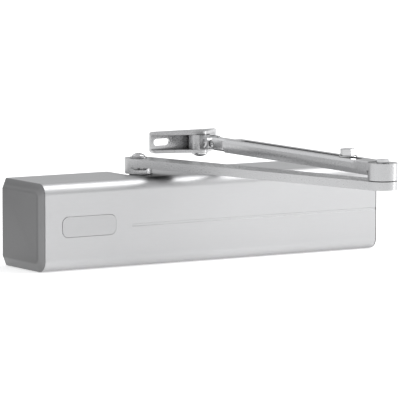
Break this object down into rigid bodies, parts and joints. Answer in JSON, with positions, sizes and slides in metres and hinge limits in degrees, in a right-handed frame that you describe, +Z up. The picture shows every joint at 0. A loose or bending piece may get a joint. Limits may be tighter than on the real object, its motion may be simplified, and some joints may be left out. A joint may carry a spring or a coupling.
{
  "type": "door closer",
  "caption": "Surface-mounted rack-and-pinion door closer: long housing with rounded cover, spindle, flat main arm and slotted adjustable forearm to a frame bracket.",
  "frame": {"origin": "middle of the four mounting holes, on the back plane of the housing that lies on the door", "axes": "+X along the housing towards its spring end, +Y out of the back into the door, +Z up along the spindle"},
  "size_m": [0.2742, 0.252, 0.0888],
  "materials": {
    "cover_aluminium": "satin silver anodised",
    "cap_plastic": "silver grey moulded plastic",
    "plate_aluminium": "satin, blank",
    "cast_aluminium": "as cast and machined",
    "seal_rubber": "black nitrile",
    "spring_steel": "drawn wire",
    "bearing_bronze": "sintered bronze",
    "valve_brass": "turned",
    "hardened_steel": "ground and hardened",
    "arm_silver": "silver powder coat",
    "bright_steel": "zinc plated"
  },
  "bodies": {
    "closer": {"closer_case": "cast_aluminium", "cover": "cover_aluminium", "left_end_cap": "cap_plastic", "right_end_cap": "cap_plastic", "name_plate": "plate_aluminium", "left_cylinder_plug": "cast_aluminium", "right_cylinder_plug": "cast_aluminium", "plug_seals": "seal_rubber", "return_spring": "spring_steel", "upper_spindle_bearing": "bearing_bronze", "lower_spindle_bearing": "bearing_bronze", "upper_spindle_seal": "seal_rubber", "lower_spindle_seal": "seal_rubber", "upper_bearing_cap": "cast_aluminium", "lower_bearing_cap": "cast_aluminium", "lower_cutout_plug": "cap_plastic", "cover_clips": "spring_steel", "valve_seals": "seal_rubber"},
    "closing_valve": {"closing_speed_valve": "valve_brass"},
    "latch_valve": {"latch_speed_valve": "valve_brass"},
    "backcheck": {"backcheck_valve": "valve_brass"},
    "adjuster": {"spring_adjuster": "bright_steel"},
    "seat": {"spring_seat": "cast_aluminium"},
    "piston": {"rack_piston": "hardened_steel", "piston_seals": "seal_rubber", "check_valve_ball": "bright_steel", "check_valve_clip": "spring_steel"},
    "spindle": {"pinion_spindle": "hardened_steel", "main_arm": "arm_silver", "arm_screw": "bright_steel", "arm_washer": "bright_steel", "elbow_screw": "bright_steel", "elbow_washer": "bright_steel"},
    "forearm": {"forearm": "arm_silver", "elbow_bush": "bearing_bronze"},
    "rod": {"adjusting_rod": "bright_steel", "clamp_screw": "bright_steel", "clamp_washer": "bright_steel"},
    "knuckle": {"knuckle": "arm_silver", "cross_pin": "bright_steel", "pivot_bush": "bearing_bronze"},
    "bracket": {"frame_bracket": "arm_silver", "pivot_rivet": "bright_steel"}
  },
  "joints": [
    {"name": "spindle_turn", "type": "hinge", "parent": "closer", "child": "spindle", "pos_m": [-0.044, -0.025, 0], "axis": [0, 0, 1], "range_deg": [0, 170], "stiffness_Nm_per_rad": 4},
    {"name": "piston_slide", "type": "slide", "parent": "closer", "child": "piston", "axis": [1, 0, 0], "range_m": [0, 0.0268], "deforming": ["return_spring"]},
    {"name": "elbow_turn", "type": "hinge", "parent": "spindle", "child": "forearm", "pos_m": [0.01095, -0.24216, 0.045], "axis": [0, 0, 1], "range_deg": [-165, 3]},
    {"name": "rod_slide", "type": "slide", "parent": "forearm", "child": "rod", "axis": [0.0105, 0.9999, 0], "range_m": [0, 0.1]},
    {"name": "knuckle_tilt", "type": "hinge", "parent": "rod", "child": "knuckle", "pos_m": [0.01319, -0.02847, 0.04888], "axis": [0.9999, -0.0105, 0], "range_deg": [-8, 8]},
    {"name": "bracket_turn", "type": "hinge", "parent": "knuckle", "child": "bracket", "pos_m": [0.01336, -0.01207, 0.0485], "axis": [0, 0, 1], "range_deg": [-70, 70]},
    {"name": "closing_valve_turn", "type": "hinge", "parent": "closer", "child": "closing_valve", "pos_m": [-0.105, -0.0415, 0.0185], "axis": [1, 0, 0], "range_deg": [-360, 360]},
    {"name": "latch_valve_turn", "type": "hinge", "parent": "closer", "child": "latch_valve", "pos_m": [-0.105, -0.0415, -0.0185], "axis": [1, 0, 0], "range_deg": [-360, 360]},
    {"name": "backcheck_turn", "type": "hinge", "parent": "closer", "child": "backcheck", "pos_m": [0.105, -0.0415, 0.0185], "axis": [-1, 0, 0], "range_deg": [-360, 360]},
    {"name": "adjuster_turn", "type": "hinge", "parent": "closer", "child": "adjuster", "pos_m": [0.105, -0.025, 0], "axis": [1, 0, 0], "range_deg": [0, 2880]},
    {"name": "seat_slide", "type": "slide", "parent": "closer", "child": "seat", "axis": [-1, 0, 0], "range_m": [0, 0.0121]}
  ],
  "couplings": [
    {"joint": "piston_slide", "follows": "spindle_turn", "m_per_rad": 0.009},
    {"joint": "seat_slide", "follows": "adjuster_turn", "m_per_rad": 0.00023873}
  ]
}
